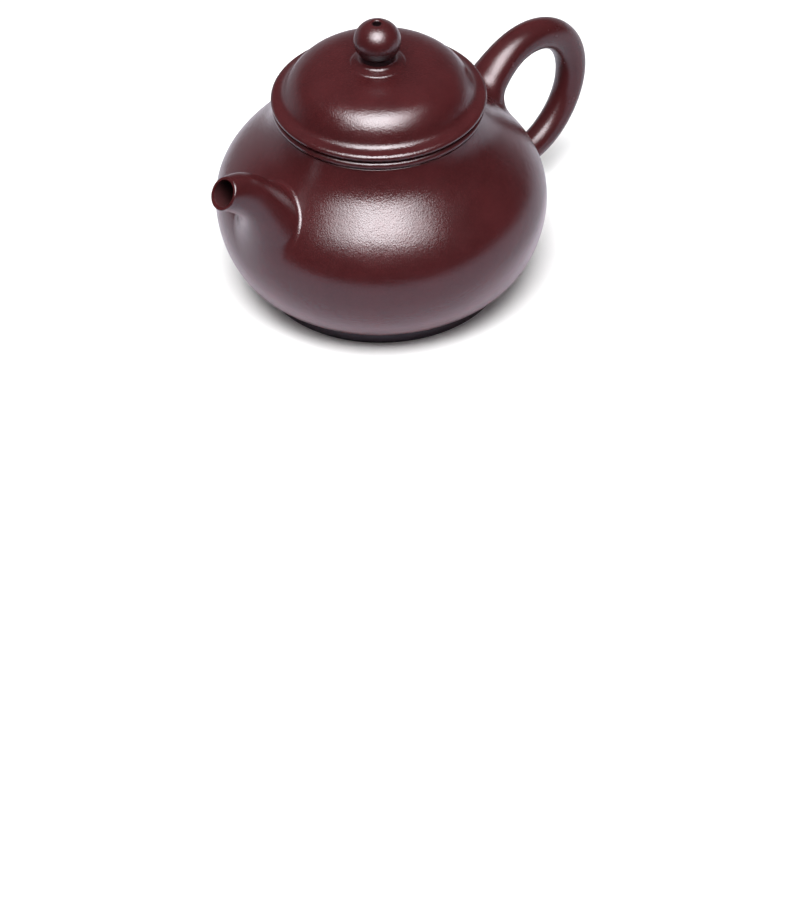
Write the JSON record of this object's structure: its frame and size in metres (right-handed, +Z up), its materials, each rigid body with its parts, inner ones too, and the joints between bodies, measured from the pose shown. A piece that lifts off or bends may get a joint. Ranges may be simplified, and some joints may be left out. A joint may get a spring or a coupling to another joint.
{
  "type": "teapot",
  "caption": "Round-bellied unglazed clay teapot with a short spout, an ear-shaped handle and a lift-off domed lid with a ball knob.",
  "frame": {"origin": "middle of the footprint on the surface that the pot stands on; the pot's own turning axis is 9.45 mm from it towards the spout", "axes": "+X from the handle to the spout, +Z up, +Y completes a right-handed frame"},
  "size_m": [0.1363, 0.0942, 0.0851],
  "materials": {
    "pot_clay": "satin",
    "lid_clay": "satin",
    "inner_clay": "matte"
  },
  "bodies": {
    "pot": {"foot_ring": "pot_clay", "base_disc": "pot_clay", "body_wall": "pot_clay", "shoulder_disc": "pot_clay", "neck_band": "pot_clay", "mouth_rim": "pot_clay", "spout": "pot_clay", "strainer": "inner_clay", "handle": "pot_clay"},
    "lid_carrier": {"lid_flange": "lid_clay"},
    "lid": {"lid_seat_ring": "lid_clay", "lid_dome": "lid_clay", "knob_collar": "lid_clay", "knob": "lid_clay"}
  },
  "joints": [
    {"name": "lid_lift", "type": "slide", "parent": "pot", "child": "lid_carrier", "axis": [0, 0, 1], "range_m": [0, 0.04]},
    {"name": "lid_turn", "type": "hinge", "parent": "lid_carrier", "child": "lid", "pos_m": [0.00945, 0, 0.0591], "axis": [0, 0, 1], "continuous": true}
  ]
}
